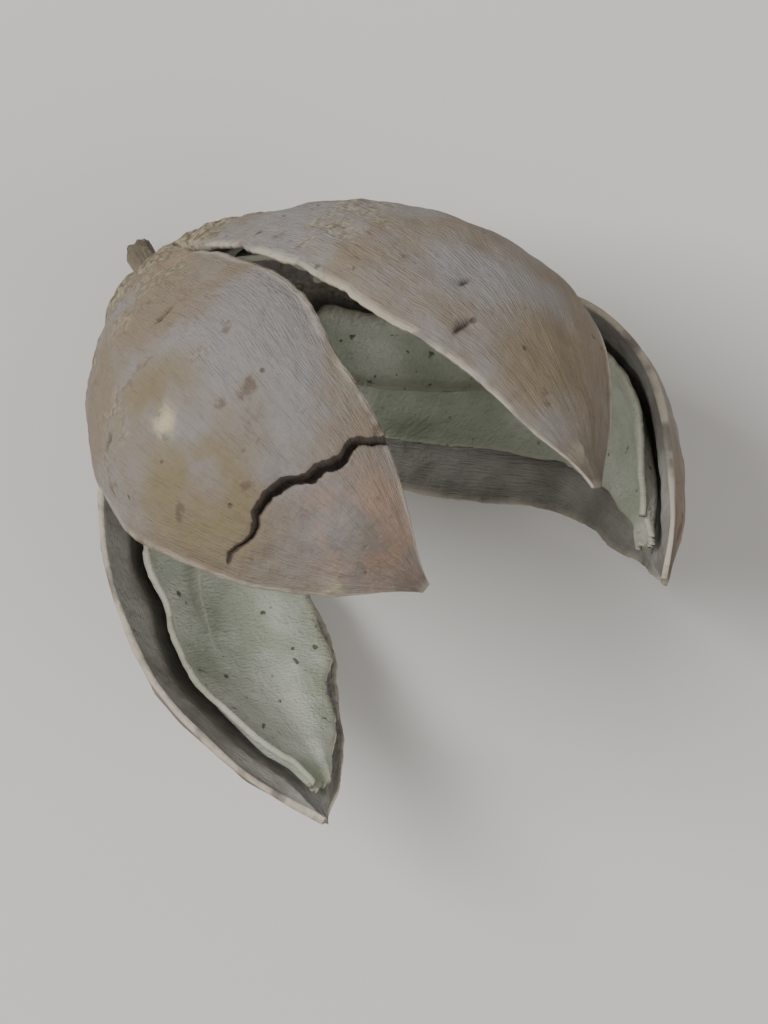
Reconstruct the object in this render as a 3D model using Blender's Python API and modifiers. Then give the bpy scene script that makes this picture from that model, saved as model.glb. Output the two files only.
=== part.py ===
"""A dried bakuli pod, lying on its side.

The woody husk is a seed capsule that has split into four boat-shaped valves. They are
joined in a small crusted cap at the base, which carries the stub of the stalk. A thin
pale lining has come loose inside each valve, and a winged column stands in the middle.

The pod is modelled about its own axis: base at the origin, tips towards +Z. A point of a
valve is given by two shares: along, from 0 at the base to 1 at the tip, and across, from
-1 to 1 between its two rims. The pod's frame, an empty, lays it down with its mouth
towards -Y and raised, on two small flats under its lower valves, on the plane Z = 0.
"""

import math

import bmesh
import bpy
import numpy as np
from mathutils import Vector, noise

# The closed pod, in metres
POD_LENGTH = 0.0350
POD_RADIUS = 0.0124
BELLY_HEIGHT = 0.0190
TIP_SHARPNESS = 2.4
TIP_WIDTH = 0.0007

# The husk's wall, in metres
WALL = 0.0012
RIM_WALL = 0.0006
CAP_WALL = 0.0026

# Where things are along a valve, as shares of its length
SPLIT_AT = 0.135
BEND_END = 0.36
CURL_START = 0.48
TURN_END = 0.60

# The valves, in order round the axis. Angles are in degrees: open leans the valve out
# from its foot, curl brings its upper half back in, and turn carries it round the axis.
# Length is a share of the closed pod's, and cup is how much deeper its section has curled.
VALVES = [
    {"name": "right", "open": 18.0, "curl": -4.0, "turn": 10.0, "length": 1.01, "cup": 1.08},
    {"name": "front", "open": 15.0, "curl": 14.5, "turn": -12.0, "length": 0.97, "cup": 1.08},
    {"name": "left", "open": 27.0, "curl": -25.5, "turn": 2.5, "length": 0.81, "cup": 1.10},
    {"name": "back", "open": 23.5, "curl": 15.0, "turn": 27.0, "length": 1.04, "cup": 1.10},
]

# The crack across the front valve, near its tip: it starts as a notch in one rim, runs
# aslant and nearly reaches the other
CRACKED_VALVE = "front"
CRACK_AT = 0.785
CRACK_HALF = 0.0075
CRACK_SLANT = -0.018
CRACK_JAG = 0.022

# The stalk's stub, in metres
STALK_LENGTH = 0.0040
STALK_RADIUS = 0.0010
STALK_SUNK = 0.0022

# The loose lining inside each valve, in metres, and how far it reaches: from one side of
# the valve to the other, and up to where it tore off, as shares
LINING_GAP = 0.0004
LINING_WALL = 0.0006
LINING_FROM = 0.21
SEPTUM_HEIGHT = 0.0013
LININGS = {
    "right": {"low_side": 0.78, "high_side": 0.80, "to": 0.70, "torn": 0.10},
    "front": {"low_side": 0.80, "high_side": 0.74, "to": 0.64, "torn": 0.06},
    "left": {"low_side": 0.66, "high_side": 0.94, "to": 0.95, "torn": 0.02},
    "back": {"low_side": 0.60, "high_side": 0.86, "to": 0.92, "torn": 0.04},
}

# The column in the middle, in metres
COLUMN_FOOT = 0.0030
COLUMN_HEIGHT = 0.0130
COLUMN_CORE = 0.0010
COLUMN_WING = 0.0015
WING_HALF = 0.0004

# How the pod lies, in degrees: tilt raises the mouth, and roll turns it about its axis
LIE_TILT = 37.5
LIE_ROLL = -20.0
REST_FLAT = 0.0005

# How finely the skins are divided
COLUMNS = 12
CAP_ROWS = 4
VALVE_ROWS = 19
LINING_COLUMNS = 10
LINING_ROWS = 13

QUARTER = math.pi / 4
UP = Vector((0, 0, 1))


def smooth_step(start, end, x):
    """0 before start, 1 after end, and smooth between them."""
    x = min(1.0, max(0.0, (x - start) / (end - start)))
    return x * x * (3 - 2 * x)


def closed_outline(samples=400):
    """The closed pod's radii and heights, and the share of the way along at each."""
    turn = np.linspace(0, math.pi / 2, samples)
    rise = np.linspace(0, 1, samples)[1:]
    narrowing = (POD_RADIUS - TIP_WIDTH) * (1 - rise**TIP_SHARPNESS)
    radii = np.concatenate([POD_RADIUS * np.sin(turn), TIP_WIDTH + narrowing])
    below_belly = BELLY_HEIGHT * (1 - np.cos(turn))
    above_belly = BELLY_HEIGHT + (POD_LENGTH - BELLY_HEIGHT) * rise
    heights = np.concatenate([below_belly, above_belly])
    lengths = np.concatenate([[0], np.cumsum(np.hypot(np.diff(radii), np.diff(heights)))])
    return radii, heights, lengths / lengths[-1]


CLOSED_RADII, CLOSED_HEIGHTS, SHARES = closed_outline()


def bend_at(valve, along):
    """How far the valve leans out there, in radians, beyond the closed pod's own outline."""
    leaning = math.radians(valve["open"]) * smooth_step(SPLIT_AT, BEND_END, along)
    curling = math.radians(valve["curl"]) * smooth_step(CURL_START, 1.0, along)
    return leaning - curling


def valve_spine(valve):
    """The opened valve's middle line: distances from the axis and heights, at SHARES."""
    bends = np.array([bend_at(valve, share) for share in SHARES])
    slopes = np.arctan2(np.diff(CLOSED_RADII), np.diff(CLOSED_HEIGHTS)) + (bends[1:] + bends[:-1]) / 2
    steps = np.hypot(np.diff(CLOSED_RADII), np.diff(CLOSED_HEIGHTS))
    steps = steps * np.where(SHARES[1:] > SPLIT_AT, valve["length"], 1.0)
    outs = np.concatenate([[0], np.cumsum(steps * np.sin(slopes))])
    ups = np.concatenate([[0], np.cumsum(steps * np.cos(slopes))])
    return outs, ups


for number, each_valve in enumerate(VALVES):
    each_valve["number"] = number
    each_valve["spine"] = valve_spine(each_valve)


def valve_azimuth(valve, along=0.0):
    """The direction of the valve's middle round the axis."""
    turned = math.radians(valve["turn"]) * smooth_step(SPLIT_AT, TURN_END, along)
    return math.radians(45.0 + 90.0 * valve["number"]) + turned


def rim_wander(valve, along, across):
    """How far the suture beside a rim wanders round the axis: both its rims share the line."""
    suture = (valve["number"] if across > 0 else valve["number"] - 1) % len(VALVES)
    wander = 0.05 * noise.noise(Vector((8.0 * along, 5.0 * suture, 0.5)))
    return wander * abs(across) * smooth_step(SPLIT_AT, 0.3, along)


def skin_point(valve, along, across):
    """A point of the husk's outer skin, with no relief on it."""
    radius = float(np.interp(along, SHARES, CLOSED_RADII))
    out = float(np.interp(along, SHARES, valve["spine"][0]))
    up = float(np.interp(along, SHARES, valve["spine"][1]))
    cup = 1 + (valve["cup"] - 1) * smooth_step(SPLIT_AT, 0.5, along)
    shrunk = 1 - 0.06 * smooth_step(SPLIT_AT, SPLIT_AT + 0.07, along)
    angle = QUARTER * across * cup * shrunk + rim_wander(valve, along, across)
    side = radius / cup * math.sin(angle)
    inward = radius / cup * (1 - math.cos(angle))
    bend = bend_at(valve, along)
    reach = out - inward * math.cos(bend)
    azimuth = valve_azimuth(valve, along)
    x = reach * math.cos(azimuth) - side * math.sin(azimuth)
    y = reach * math.sin(azimuth) + side * math.cos(azimuth)
    return Vector((x, y, up + inward * math.sin(bend)))


def skin_normal(valve, along, across):
    """The outward normal of the skin there."""
    step = 0.004
    low = max(0.002, along - step)
    high = min(0.998, along + step)
    lengthways = skin_point(valve, high, across) - skin_point(valve, low, across)
    sideways = skin_point(valve, along, across + step) - skin_point(valve, along, across - step)
    return sideways.cross(lengthways).normalized()


def relief(place, along):
    """How far the skin stands out at a place: slow swells, and a rough crust round the base."""
    swell = 0.00030 * noise.noise(place * 210.0) + 0.00013 * noise.noise(place * 600.0)
    crust = 0.00050 * abs(noise.noise(place * 460.0)) * (1 - smooth_step(0.16, 0.32, along))
    return swell * smooth_step(0.0, 0.06, along) + crust


def husk_point(valve, along, across):
    """A point of the outer skin, with its relief, which fades at the rims."""
    place = skin_point(valve, along, across)
    inside = 1 - 0.7 * smooth_step(0.8, 1.0, abs(across)) * smooth_step(SPLIT_AT, 0.3, along)
    return place + skin_normal(valve, along, across) * relief(place, along) * inside


def wall_at(along, across):
    """The husk's wall there: thick in the cap, and thin at the rims and the tip."""
    wall = CAP_WALL + (WALL - CAP_WALL) * smooth_step(0.05, 0.24, along)
    beside_rim = smooth_step(0.62, 1.0, abs(across)) * smooth_step(SPLIT_AT, 0.3, along)
    thinned = max(beside_rim, smooth_step(0.9, 1.0, along))
    return wall + (RIM_WALL - wall) * thinned


def even_across(column, columns):
    return 2 * column / columns - 1


def crack_line(across):
    """Where the crack's middle runs, as a shift along the valve from CRACK_AT."""
    jag = noise.noise(Vector((3.3 * across, 2.0, 0.0)))
    jump = smooth_step(-0.25, -0.05, across) - 0.5
    return CRACK_SLANT * across + CRACK_JAG * (jag - 0.7 * jump)


def crack_half(across):
    """Half the crack's width there: widest past the notch, and closing towards its end."""
    past_notch = 0.55 + 0.45 * smooth_step(-1.0, -0.4, across)
    closing = 1 - 0.75 * smooth_step(-0.1, 0.8, across)
    return CRACK_HALF * past_notch * closing


def valve_rows(valve):
    """The rows of points up a valve, each a function of across, and the row under the crack."""
    shares = []
    for row in range(1, VALVE_ROWS):
        shares.append(SPLIT_AT + (1 - SPLIT_AT) * (1 - (1 - row / VALVE_ROWS) ** 1.2))
    if valve["name"] != CRACKED_VALVE:
        return [(share, 0.0) for share in shares], None
    below = [(share, 0.0) for share in shares if share < CRACK_AT - 0.02]
    above = [(share, 0.0) for share in shares if share > CRACK_AT + 0.02]
    return below + [(CRACK_AT, -1.0), (CRACK_AT, 1.0)] + above, len(below)


def row_share(valve, row, across):
    """The exact share along of a row's point: rows by the crack follow it."""
    share, edge = row
    if valve["name"] != CRACKED_VALVE:
        return share
    closeness = 1 - min(1.0, abs(share - CRACK_AT) / 0.12)
    return share + crack_line(across) * closeness + edge * crack_half(across)


def add_material(obj, name, colour, roughness):
    material = bpy.data.materials.new(name)
    material.use_nodes = True
    shader = material.node_tree.nodes["Principled BSDF"]
    shader.inputs["Base Color"].default_value = (*colour, 1.0)
    shader.inputs["Roughness"].default_value = roughness
    shader.inputs["Metallic"].default_value = 0.0
    obj.data.materials.append(material)


def new_object(name, builder, collection):
    mesh = bpy.data.meshes.new(name)
    builder.to_mesh(mesh)
    builder.free()
    obj = bpy.data.objects.new(name, mesh)
    collection.objects.link(obj)
    return obj


def thicken(obj, walls):
    """A Solidify inwards, with each point's own wall from a vertex group, applied."""
    deepest = max(walls)
    group = obj.vertex_groups.new(name="wall")
    for index, wall in enumerate(walls):
        group.add([index], wall / deepest, "REPLACE")
    solidify = obj.modifiers.new("wall", "SOLIDIFY")
    solidify.thickness = deepest
    solidify.offset = -1
    solidify.vertex_group = "wall"
    apply_modifiers(obj)
    obj.vertex_groups.clear()


def apply_modifiers(obj):
    """Puts the object's evaluated mesh in place of its own, with no modifier left."""
    graph = bpy.context.evaluated_depsgraph_get()
    mesh = bpy.data.meshes.new_from_object(obj.evaluated_get(graph))
    obj.modifiers.clear()
    obj.data = mesh


def bridge(builder, lower, upper, closed):
    """Quads between two rows of points."""
    last = len(lower) if closed else len(lower) - 1
    for i in range(last):
        j = (i + 1) % len(lower)
        builder.faces.new((lower[i], lower[j], upper[j], upper[i]))


def cap_ring(along):
    """The places of one ring of the cap, where the four valves are still joined."""
    places = []
    for valve in VALVES:
        before = VALVES[valve["number"] - 1]
        seam = (husk_point(before, along, 1.0) + husk_point(valve, along, -1.0)) / 2
        places.append(seam)
        for column in range(1, COLUMNS):
            places.append(husk_point(valve, along, even_across(column, COLUMNS)))
    return places


def husk_skin(collection):
    """The cap and the four valves, open along the slits between them."""
    builder = bmesh.new()
    walls = []

    def add(place, wall):
        walls.append(wall)
        return builder.verts.new(place)

    pole = add(Vector((0, 0, 0)), CAP_WALL)
    ring = None
    for row in range(1, CAP_ROWS + 1):
        along = SPLIT_AT * row / CAP_ROWS
        upper = [add(place, wall_at(along, 0)) for place in cap_ring(along)]
        if ring:
            bridge(builder, ring, upper, closed=True)
        else:
            for i, point in enumerate(upper):
                builder.faces.new((pole, upper[(i + 1) % len(upper)], point))
        ring = upper

    for valve in VALVES:
        start = valve["number"] * COLUMNS
        lower = [ring[(start + i) % len(ring)] for i in range(COLUMNS + 1)]
        rows, under_crack = valve_rows(valve)
        for index, row in enumerate(rows):
            upper = []
            for column in range(COLUMNS + 1):
                across = even_across(column, COLUMNS)
                along = row_share(valve, row, across)
                upper.append(add(husk_point(valve, along, across), wall_at(along, across)))
            if index - 1 == under_crack:
                # Only the last column crosses the crack.
                bridge(builder, lower[-2:], upper[-2:], closed=False)
            else:
                bridge(builder, lower, upper, closed=False)
            lower = upper
        tip = add(husk_point(valve, 0.999, 0.0), RIM_WALL)
        for i in range(COLUMNS):
            builder.faces.new((lower[i], lower[i + 1], tip))
    husk = new_object("husk", builder, collection)
    thicken(husk, walls)
    return husk


def stalk_stub(collection):
    """The broken stalk: a slightly bent tube that flares into the base, in its own object."""
    curve = bpy.data.curves.new("stalk", "CURVE")
    curve.dimensions = "3D"
    curve.bevel_depth = STALK_RADIUS
    curve.bevel_resolution = 2
    curve.resolution_u = 3
    curve.use_fill_caps = True
    spline = curve.splines.new("BEZIER")
    route = [
        (Vector((0.0003, 0.0010, -STALK_LENGTH)), 0.95),
        (Vector((0.0, 0.0003, -0.5 * STALK_LENGTH)), 0.85),
        (Vector((0.0, 0.0, 0.0001)), 1.4),
        (Vector((0.0, 0.0, STALK_SUNK)), 2.0),
    ]
    spline.bezier_points.add(len(route) - 1)
    for knot, (place, girth) in zip(spline.bezier_points, route):
        knot.co = place
        knot.radius = girth
        knot.handle_left_type = "AUTO"
        knot.handle_right_type = "AUTO"
    tube = bpy.data.objects.new("stalk_curve", curve)
    collection.objects.link(tube)
    bpy.context.view_layer.update()
    graph = bpy.context.evaluated_depsgraph_get()
    builder = bmesh.new()
    builder.from_mesh(bpy.data.meshes.new_from_object(tube.evaluated_get(graph)))
    bpy.data.objects.remove(tube)
    bmesh.ops.remove_doubles(builder, verts=builder.verts, dist=1e-6)
    bmesh.ops.recalc_face_normals(builder, faces=builder.faces)
    return new_object("stalk", builder, collection)


def join_stalk(husk, stalk):
    """The stalk grows out of the cap, so the two are one solid."""
    union = husk.modifiers.new("stalk", "BOOLEAN")
    union.operation = "UNION"
    union.solver = "EXACT"
    union.object = stalk
    apply_modifiers(husk)
    bpy.data.objects.remove(stalk)


def lining_place(valve, row, column):
    """A place on the lining's grid: its share along and across, with its torn outline."""
    reach = LININGS[valve["name"]]
    even = even_across(column, LINING_COLUMNS)
    # The columns crowd towards the middle, so that the septum's foot is narrow.
    across = math.copysign(abs(even) ** 1.3, even)
    ragged = noise.noise(Vector((4.0 * across, 9.0 * valve["number"], 1.5)))
    share = row / LINING_ROWS
    along = LINING_FROM + (reach["to"] + reach["torn"] * ragged - LINING_FROM) * share
    side = reach["high_side"] if even > 0 else reach["low_side"]
    tear = 0.12 * noise.noise(Vector((12.0 * along, 7.0 * valve["number"], math.copysign(3, even))))
    closing = 1 - 0.35 * smooth_step(0.75, 1.0, share)
    return along, across * (side + tear * abs(even)) * closing


def lining(valve, collection):
    """A loose lining, a little off the valve's inner face, with a low septum on its middle."""
    builder = bmesh.new()
    walls = []
    lower = None
    for row in range(LINING_ROWS + 1):
        upper = []
        for column in range(LINING_COLUMNS + 1):
            along, across = lining_place(valve, row, column)
            lifted = 0.0005 * smooth_step(0.6, 1.0, abs(even_across(column, LINING_COLUMNS)))
            depth = wall_at(along, across) + LINING_GAP + lifted
            place = husk_point(valve, along, across) - skin_normal(valve, along, across) * depth
            upper.append(builder.verts.new(place))
            ridge = SEPTUM_HEIGHT * (1 - smooth_step(0.25, 0.6, row / LINING_ROWS))
            middle = column == LINING_COLUMNS // 2
            walls.append(LINING_WALL + (ridge if middle else 0.0))
        if lower:
            bridge(builder, lower, upper, closed=False)
        lower = upper
    obj = new_object(f"lining_{valve['name']}", builder, collection)
    thicken(obj, walls)
    return obj


def column_ring(builder, height, core, wing):
    """One level of the column: a wing faces the middle of each valve, with the core between."""
    ring = []
    for valve in VALVES:
        azimuth = valve_azimuth(valve)
        outwards = Vector((math.cos(azimuth), math.sin(azimuth), 0))
        sideways = UP.cross(outwards)
        root = COLUMN_CORE * core
        edge = root + COLUMN_WING * wing
        corners = [(root, -WING_HALF), (edge, -0.8 * WING_HALF), (edge, 0.8 * WING_HALF), (root, WING_HALF)]
        for out, side in corners:
            ring.append(builder.verts.new(UP * height + outwards * out + sideways * side))
        between = (outwards + sideways).normalized()
        ring.append(builder.verts.new(UP * height + between * root * 0.85))
    return ring


def winged_column(collection):
    """The column: a slim core with four wings and a blunt head."""
    builder = bmesh.new()
    # Each level is a share of the height, the core's width and the wings' reach.
    levels = [(0.0, 1.2, 0.4), (0.12, 1.0, 0.8), (0.35, 0.9, 1.0), (0.6, 0.85, 0.85), (0.8, 0.9, 0.5),
              (0.93, 1.0, 0.25), (1.0, 0.6, 0.12)]
    rings = []
    for share, core, wing in levels:
        rings.append(column_ring(builder, COLUMN_FOOT + COLUMN_HEIGHT * share, core, wing))
    for lower, upper in zip(rings, rings[1:]):
        bridge(builder, lower, upper, closed=True)
    foot = builder.faces.new(list(reversed(rings[0])))
    head = builder.faces.new(rings[-1])
    bmesh.ops.triangulate(builder, faces=[foot, head])
    return new_object("column", builder, collection)


def lay_down(pieces, collection):
    """Parents the pieces to the pod's frame, which lays them on Z = 0, middle over the origin."""
    frame = bpy.data.objects.new("pod_frame", None)
    collection.objects.link(frame)
    frame.rotation_mode = "ZYX"
    frame.rotation_euler = (math.radians(90 - LIE_TILT), 0, math.radians(LIE_ROLL))
    bpy.context.view_layer.update()
    turned = np.array([frame.matrix_world @ v.co for obj in pieces for v in obj.data.vertices])
    low = turned.min(axis=0)
    high = turned.max(axis=0)
    frame.location = (-(low[0] + high[0]) / 2, -(low[1] + high[1]) / 2, -low[2] - REST_FLAT)
    for obj in pieces:
        obj.parent = frame
    bpy.context.view_layer.update()
    return frame


def flatten_underside(obj, frame):
    """What would reach below the ground is worn flat: the small flats that the pod rests on."""
    back = frame.matrix_world.inverted()
    for vertex in obj.data.vertices:
        place = frame.matrix_world @ vertex.co
        if place.z < 0:
            place.z = 0
            vertex.co = back @ place


def main():
    for obj in list(bpy.data.objects):
        bpy.data.objects.remove(obj)
    pod = bpy.data.collections.new("bakuli_pod")
    bpy.context.scene.collection.children.link(pod)

    husk = husk_skin(pod)
    join_stalk(husk, stalk_stub(pod))
    linings = [lining(valve, pod) for valve in VALVES]
    column = winged_column(pod)

    add_material(husk, "dry_husk", (0.27, 0.22, 0.17), 0.85)
    for obj in linings:
        add_material(obj, "pale_lining", (0.25, 0.25, 0.21), 0.8)
    add_material(column, "column_wood", (0.19, 0.18, 0.14), 0.85)

    pieces = [husk, *linings, column]
    frame = lay_down(pieces, pod)
    flatten_underside(husk, frame)
    for obj in pieces:
        obj.data.shade_smooth()
        obj.data.set_sharp_from_angle(angle=math.radians(40))


main()
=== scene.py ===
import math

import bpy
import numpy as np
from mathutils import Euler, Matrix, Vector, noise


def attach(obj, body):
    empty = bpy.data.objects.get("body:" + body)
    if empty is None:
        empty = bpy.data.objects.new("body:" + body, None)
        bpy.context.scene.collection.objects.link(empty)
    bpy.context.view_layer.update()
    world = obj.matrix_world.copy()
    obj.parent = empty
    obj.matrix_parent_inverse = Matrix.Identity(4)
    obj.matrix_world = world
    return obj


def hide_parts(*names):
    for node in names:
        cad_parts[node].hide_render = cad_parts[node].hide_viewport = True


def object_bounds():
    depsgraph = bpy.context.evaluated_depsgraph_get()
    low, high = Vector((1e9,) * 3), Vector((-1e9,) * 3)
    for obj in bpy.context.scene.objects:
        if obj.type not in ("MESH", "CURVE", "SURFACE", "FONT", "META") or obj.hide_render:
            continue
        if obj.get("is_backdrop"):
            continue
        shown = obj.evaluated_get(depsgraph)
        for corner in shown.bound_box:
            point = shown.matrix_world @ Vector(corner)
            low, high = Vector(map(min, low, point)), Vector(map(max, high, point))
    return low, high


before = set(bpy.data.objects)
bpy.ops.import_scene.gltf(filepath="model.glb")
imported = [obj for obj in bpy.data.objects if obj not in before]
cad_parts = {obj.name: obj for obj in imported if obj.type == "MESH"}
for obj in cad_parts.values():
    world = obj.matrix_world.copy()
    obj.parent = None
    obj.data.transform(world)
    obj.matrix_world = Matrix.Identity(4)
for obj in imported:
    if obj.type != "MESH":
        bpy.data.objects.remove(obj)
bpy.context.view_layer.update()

# A dried seed pod, dressed: the same shapes as the solids, with finer relief, wrinkles,
# crust, chips and cracks. Lengths are in metres and angles in degrees. A point of a valve
# is given by two shares: along, from 0 at the base to 1 at the tip, and across, from -1 to
# 1 between its two rims.

# The closed pod
POD_LENGTH = 0.0350
POD_RADIUS = 0.0124
BELLY_HEIGHT = 0.0190
TIP_SHARPNESS = 2.4
TIP_WIDTH = 0.0007

# The husk's wall
WALL = 0.0012
RIM_WALL = 0.00035
CAP_WALL = 0.0026

# Where things are along a valve
SPLIT_AT = 0.135
BEND_END = 0.36
CURL_START = 0.48
TURN_END = 0.60

# The valves: the degrees that each one opens, curls back in and turns round the axis, and
# how much longer and more cupped it is than the closed pod's wall
VALVES = [
    {"name": "right", "open": 18.0, "curl": -4.0, "turn": 10.0, "length": 1.01, "cup": 1.08},
    {"name": "front", "open": 15.0, "curl": 14.5, "turn": -12.0, "length": 0.97, "cup": 1.08},
    {"name": "left", "open": 27.0, "curl": -25.5, "turn": 2.5, "length": 0.81, "cup": 1.10},
    {"name": "back", "open": 23.5, "curl": 15.0, "turn": 27.0, "length": 1.04, "cup": 1.10},
]

# The crack across the front valve
CRACK_AT = 0.785
CRACK_HALF = 0.0075
CRACK_SLANT = -0.018
CRACK_JAG = 0.022
CRACK_ENDS = 0.80
CRACK_UNDERCUT = 0.021
CRACK_FOLLOWED = 0.12

# The valves' finer tips: where they begin, how long they are and the width they lose
TIP_FROM = 0.88
TIP_SPAN = 0.12
TIP_LOSS = 0.5

# The stalk's stub
STALK_LENGTH = 0.0040
STALK_RADIUS = 0.0010
STALK_SUNK = 0.0022

# The loose linings: their sizes, then how far the two sides and the end of each one reach,
# how torn its end is and how much it closes in there
LINING_GAP = 0.0004
LINING_WALL = 0.00035
LINING_FROM = 0.21
SEPTUM_HEIGHT = 0.0013
LININGS = {
    "right": {"low_side": 0.78, "high_side": 0.80, "to": 0.70, "torn": 0.10, "closing": 0.35},
    "front": {"low_side": 0.80, "high_side": 0.74, "to": 0.64, "torn": 0.06, "closing": 0.35},
    "left": {"low_side": 0.66, "high_side": 0.94, "to": 0.95, "torn": 0.01, "closing": 0.08},
    "back": {"low_side": 0.60, "high_side": 0.86, "to": 0.92, "torn": 0.03, "closing": 0.25},
}

# The column in the middle
COLUMN_FOOT = 0.0030
COLUMN_HEIGHT = 0.0130
COLUMN_CORE = 0.0010
COLUMN_WING = 0.0015
WING_HALF = 0.0004

# The column's core and wings up its height, as shares of those two sizes
COLUMN_SHARES = [0.0, 0.12, 0.35, 0.6, 0.8, 0.93, 1.0]
COLUMN_CORES = [1.2, 1.0, 0.9, 0.85, 0.9, 1.0, 0.6]
COLUMN_WINGS = [0.4, 0.8, 1.0, 0.85, 0.5, 0.25, 0.12]

# How high or deep the relief on the skin is
SWELL = 0.00030
FINE_SWELL = 0.00013
BASE_ROUGHNESS = 0.00050
GRAIN_HEIGHT = 0.00022
GRAIN_SHIFT = 0.00070
LUMP_HEIGHT = 0.00026
SCAB_HEIGHT = 0.00014
WRINKLE_HEIGHT = 0.00014
FIBRE_HEIGHT = 0.00005
DENT_DEPTH = 0.00022
NICK_DEPTH = 0.00030

# How the pod lies
LIE_TILT = 37.5
LIE_ROLL = -20.0
LIE_PLACE = (-0.000087, 0.0142452, 0.0032955)

# How finely the skins are divided
COLUMNS = 60
CAP_ROWS = 24
VALVE_ROWS = 140
LINING_COLUMNS = 48
LINING_ROWS = 84
COLUMN_LEVELS = 70
COLUMN_STEPS = 6
STALK_SIDES = 40
STALK_LEVELS = 34
OUTLINE_SAMPLES = 400

# Two close rows beside each lip of the crack keep its painted shade narrow, with no other row
# nearer
CLOSE_ROWS = (0.0165, 0.0130)
CLEAR_OF_CRACK = 0.02

# Marks on the skin, each with its kind, its valve, where it is, its radius and strength
SPOTS = [
    ("scab", "front", 0.601, 0.17, 0.0010, 1.0),
    ("scab", "front", 0.885, 0.88, 0.0008, 0.8),
    ("scab", "right", 0.955, 0.55, 0.0007, 0.45),
    ("scab", "left", 0.42, -0.30, 0.0009, 0.8),
    ("scab", "back", 0.55, 0.20, 0.0011, 0.8),
    ("ruddy", "front", 0.26, -0.85, 0.0015, 0.9),
    ("ruddy", "front", 0.890, -0.15, 0.0046, 0.9),
    ("ruddy", "back", 0.88, 0.10, 0.0030, 0.7),
    ("stain", "front", 0.70, 0.42, 0.0046, 1.0),
    ("stain", "front", 0.56, 0.10, 0.0036, 0.9),
    ("stain", "right", 0.84, 0.05, 0.0036, 0.5),
    ("stain", "left", 0.60, 0.10, 0.0046, 0.8),
    ("stain", "back", 0.45, -0.30, 0.0050, 0.7),
    ("bloom", "front", 0.58, -0.72, 0.0052, 1.0),
    ("bloom", "right", 0.48, 0.45, 0.0062, 1.0),
    ("bloom", "right", 0.68, -0.10, 0.0054, 0.6),
    ("bloom", "left", 0.80, 0.20, 0.0044, 0.8),
    ("bloom", "back", 0.68, 0.10, 0.0056, 0.9),
]

# Short cracks across the grain, sunk in and darkened with painted shade: the valve, the share
# along, and from where to where
NICKS = [
    ("right", 0.753, 0.60, 0.80),
    ("right", 0.705, 0.34, 0.43),
    ("front", 0.43, -0.42, -0.28),
    ("front", 0.50, 0.48, 0.57),
    ("left", 0.66, -0.30, -0.05),
    ("left", 0.73, 0.10, 0.28),
    ("back", 0.60, -0.20, 0.06),
    ("back", 0.67, 0.22, 0.36),
]

# The photograph looks straight down, with the picture turned this much
PICTURE_TURN = -45.1

# The camera, and how far it stands from the pod's middle to the picture's right and down
LENS = 120.0
CAMERA_HEIGHT = 0.212
CAMERA_RIGHT = 0.0029
CAMERA_DOWN = 0.0031

# The lights: how far out they stand and what they point at, and then each one's name, its
# shares of that distance to the picture's right and up, its height, its size and its power
LIGHTS_OUT = 0.5
LIT_POINT = (0, 0, 0.012)
LIGHTS = [
    ("key", -1.0, 0.35, 0.62, 0.38, 6.8),
    ("fill", 0.9, -0.4, 0.35, 0.5, 1.3),
]
SKY_COLOUR = (1.0, 0.99, 0.97, 1.0)
SKY_STRENGTH = 0.42

# The floor
FLOOR_HALF = 1.5
FLOOR_COLOUR = (0.62, 0.60, 0.57, 1.0)

# Half of the quarter turn that a valve takes up
HALF_VALVE = math.pi / 4


def smooth_step(start, end, x):
    """0 before start, 1 after end, and smooth between them."""
    x = np.clip((np.asarray(x, float) - start) / (end - start), 0.0, 1.0)
    return x * x * (3 - 2 * x)


def noise_at(places, scale=1.0, seed=0.0):
    """Smooth noise at an array of places, from about -1 to 1."""
    places = np.asarray(places, float) * scale + seed
    flat = places.reshape(-1, 3).tolist()
    return np.array([noise.noise(p) for p in flat]).reshape(places.shape[:-1])


def cells_at(places, scale):
    """The distance to the nearest of a scatter of points, in cells: 0 at each grain's middle."""
    flat = (np.asarray(places, float) * scale).reshape(-1, 3).tolist()
    near = [noise.voronoi(p)[0][0] for p in flat]
    return np.array(near).reshape(np.shape(places)[:-1])


def closed_outline():
    """The closed pod's radii and heights, and the share of the way along at each."""
    turn = np.linspace(0, math.pi / 2, OUTLINE_SAMPLES)
    rise = np.linspace(0, 1, OUTLINE_SAMPLES)[1:]
    narrowing = (POD_RADIUS - TIP_WIDTH) * (1 - rise**TIP_SHARPNESS)
    radii = np.concatenate([POD_RADIUS * np.sin(turn), TIP_WIDTH + narrowing])
    below_belly = BELLY_HEIGHT * (1 - np.cos(turn))
    above_belly = BELLY_HEIGHT + (POD_LENGTH - BELLY_HEIGHT) * rise
    heights = np.concatenate([below_belly, above_belly])
    lengths = np.concatenate([[0], np.cumsum(np.hypot(np.diff(radii), np.diff(heights)))])
    return radii, heights, lengths / lengths[-1]


CLOSED_RADII, CLOSED_HEIGHTS, SHARES = closed_outline()


def bend_at(valve, along):
    """How far the valve leans out there, in radians."""
    leaning = math.radians(valve["open"]) * smooth_step(SPLIT_AT, BEND_END, along)
    curling = math.radians(valve["curl"]) * smooth_step(CURL_START, 1.0, along)
    return leaning - curling


def valve_spine(valve):
    """The opened valve's middle line: distances from the axis and heights, at SHARES."""
    bends = bend_at(valve, SHARES)
    slopes = np.arctan2(np.diff(CLOSED_RADII), np.diff(CLOSED_HEIGHTS))
    slopes = slopes + (bends[1:] + bends[:-1]) / 2
    steps = np.hypot(np.diff(CLOSED_RADII), np.diff(CLOSED_HEIGHTS))
    steps = steps * np.where(SHARES[1:] > SPLIT_AT, valve["length"], 1.0)
    outs = np.concatenate([[0], np.cumsum(steps * np.sin(slopes))])
    ups = np.concatenate([[0], np.cumsum(steps * np.cos(slopes))])
    return outs, ups


for number, each_valve in enumerate(VALVES):
    each_valve["number"] = number
    each_valve["spine"] = valve_spine(each_valve)


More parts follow.
